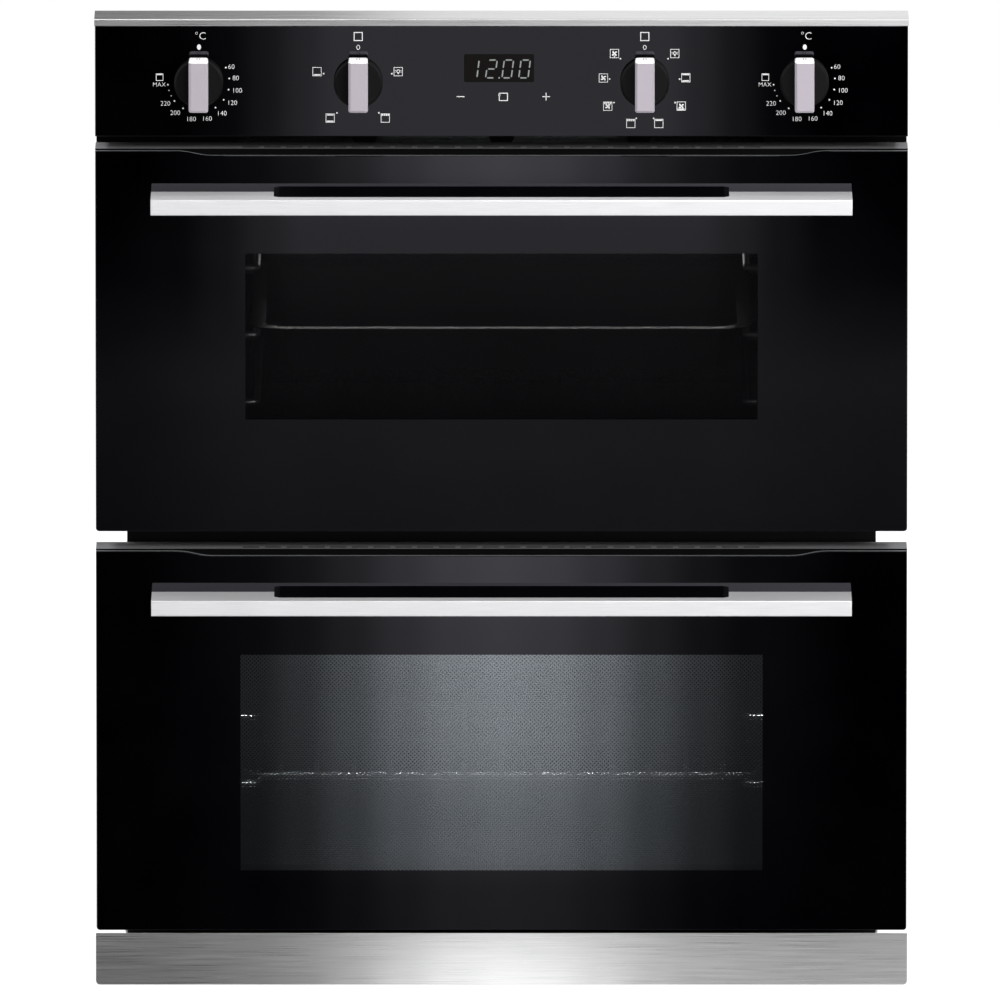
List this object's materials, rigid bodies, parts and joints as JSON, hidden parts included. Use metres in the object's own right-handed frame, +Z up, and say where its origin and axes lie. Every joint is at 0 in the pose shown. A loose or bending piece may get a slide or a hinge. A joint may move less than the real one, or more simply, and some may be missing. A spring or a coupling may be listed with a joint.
{
  "type": "built-under double oven",
  "caption": "Built-under double oven with stacked drop-down glass doors, bar handles, a glass control panel with knobs and a clock, and a steel plinth.",
  "frame": {"origin": "middle of the footprint, on the surface that the oven stands on", "axes": "+Z up, the doors face -Y, +X to the right seen from the front"},
  "size_m": [0.597, 0.59, 0.7185],
  "materials": {
    "zinc_coated_sheet": "zinc-coated, matt",
    "zinc_plated_steel": "zinc-plated, satin",
    "stainless_steel": "brushed along its length",
    "black_enamel": "gloss vitreous enamel",
    "grey_enamel": "gloss vitreous enamel with fine specks",
    "black_printed_glass": "gloss, printed black behind",
    "clear_glass": "gloss",
    "lamp_glass": "frosted",
    "black_painted_steel": "satin black",
    "black_plastic": "satin black",
    "pale_plastic": "matt",
    "satin_aluminium": "satin anodised",
    "galvanised_wheel": "satin",
    "chromed_wire": "polished",
    "element_sheath": "heat-darkened",
    "seal_rubber": "matt"
  },
  "bodies": {
    "oven": {"base_pan": "zinc_coated_sheet", "side_panel_left": "zinc_coated_sheet", "side_panel_right": "zinc_coated_sheet", "rear_panel": "zinc_coated_sheet", "top_cover": "zinc_coated_sheet", "hinge_brackets": "zinc_plated_steel", "hinge_pins": "zinc_plated_steel", "blower_housing": "zinc_plated_steel", "blower_motor": "zinc_plated_steel", "fan_motor": "zinc_plated_steel", "plinth_trim": "stainless_steel", "top_trim": "stainless_steel", "front_frame": "black_enamel", "upper_cavity": "grey_enamel", "lower_cavity": "grey_enamel", "fan_cover": "grey_enamel", "control_glass": "black_printed_glass", "oven_lamps": "lamp_glass", "control_carrier": "black_plastic", "display_module": "black_plastic", "air_outlet_grille": "black_plastic", "terminal_block": "black_plastic", "selector_switches": "pale_plastic", "thermostats": "pale_plastic", "upper_side_racks": "chromed_wire", "lower_side_racks": "chromed_wire", "upper_grill_element": "element_sheath", "lower_grill_element": "element_sheath", "base_elements": "element_sheath", "ring_element": "element_sheath", "upper_seal": "seal_rubber", "lower_seal": "seal_rubber"},
    "upper_door": {"upper_outer_glass": "black_printed_glass", "upper_inner_glass": "clear_glass", "upper_door_frame": "black_painted_steel", "upper_top_rail": "black_plastic", "upper_handle": "satin_aluminium", "upper_handle_screws": "zinc_plated_steel", "upper_hinge_arms": "zinc_plated_steel"},
    "lower_door": {"lower_outer_glass": "black_printed_glass", "lower_inner_glass": "clear_glass", "lower_door_frame": "black_painted_steel", "lower_top_rail": "black_plastic", "lower_handle": "satin_aluminium", "lower_handle_screws": "zinc_plated_steel", "lower_hinge_arms": "zinc_plated_steel"},
    "upper_temperature_knob": {"upper_temperature_knob_skirt": "black_plastic", "upper_temperature_knob_grip": "satin_aluminium"},
    "upper_function_knob": {"upper_function_knob_skirt": "black_plastic", "upper_function_knob_grip": "satin_aluminium"},
    "lower_function_knob": {"lower_function_knob_skirt": "black_plastic", "lower_function_knob_grip": "satin_aluminium"},
    "lower_temperature_knob": {"lower_temperature_knob_skirt": "black_plastic", "lower_temperature_knob_grip": "satin_aluminium"},
    "fan": {"fan_impeller": "galvanised_wheel"},
    "blower": {"blower_rotor": "galvanised_wheel"},
    "shelf": {"lower_shelf": "chromed_wire"},
    "pan": {"grill_pan": "black_enamel"}
  },
  "joints": [
    {"name": "upper_door_hinge", "type": "hinge", "parent": "oven", "child": "upper_door", "pos_m": [0, -0.239, 0.3522], "axis": [1, 0, 0], "range_deg": [0, 90], "stiffness_Nm_per_rad": 1.5, "springref_deg": -22.92},
    {"name": "lower_door_hinge", "type": "hinge", "parent": "oven", "child": "lower_door", "pos_m": [0, -0.239, 0.055], "axis": [1, 0, 0], "range_deg": [0, 90], "stiffness_Nm_per_rad": 1.5, "springref_deg": -22.92},
    {"name": "upper_temperature_knob_turn", "type": "hinge", "parent": "oven", "child": "upper_temperature_knob", "pos_m": [-0.222, -0.253, 0.6717], "axis": [0, 1, 0], "range_deg": [0, 265]},
    {"name": "upper_function_knob_turn", "type": "hinge", "parent": "oven", "child": "upper_function_knob", "pos_m": [-0.105, -0.253, 0.6717], "axis": [0, 1, 0], "range_deg": [0, 288]},
    {"name": "lower_function_knob_turn", "type": "hinge", "parent": "oven", "child": "lower_function_knob", "pos_m": [0.105, -0.253, 0.6717], "axis": [0, 1, 0], "range_deg": [0, 320]},
    {"name": "lower_temperature_knob_turn", "type": "hinge", "parent": "oven", "child": "lower_temperature_knob", "pos_m": [0.222, -0.253, 0.6717], "axis": [0, 1, 0], "range_deg": [0, 265]},
    {"name": "fan_spin", "type": "hinge", "parent": "oven", "child": "fan", "pos_m": [0, 0.18, 0.173], "axis": [0, 1, 0], "continuous": true},
    {"name": "blower_spin", "type": "hinge", "parent": "oven", "child": "blower", "pos_m": [0, -0.1155, 0.6404], "axis": [1, 0, 0], "continuous": true},
    {"name": "shelf_slide", "type": "slide", "parent": "oven", "child": "shelf", "axis": [0, -1, 0], "range_m": [0, 0.028]},
    {"name": "pan_slide", "type": "slide", "parent": "oven", "child": "pan", "axis": [0, -1, 0], "range_m": [0, 0.028]}
  ]
}
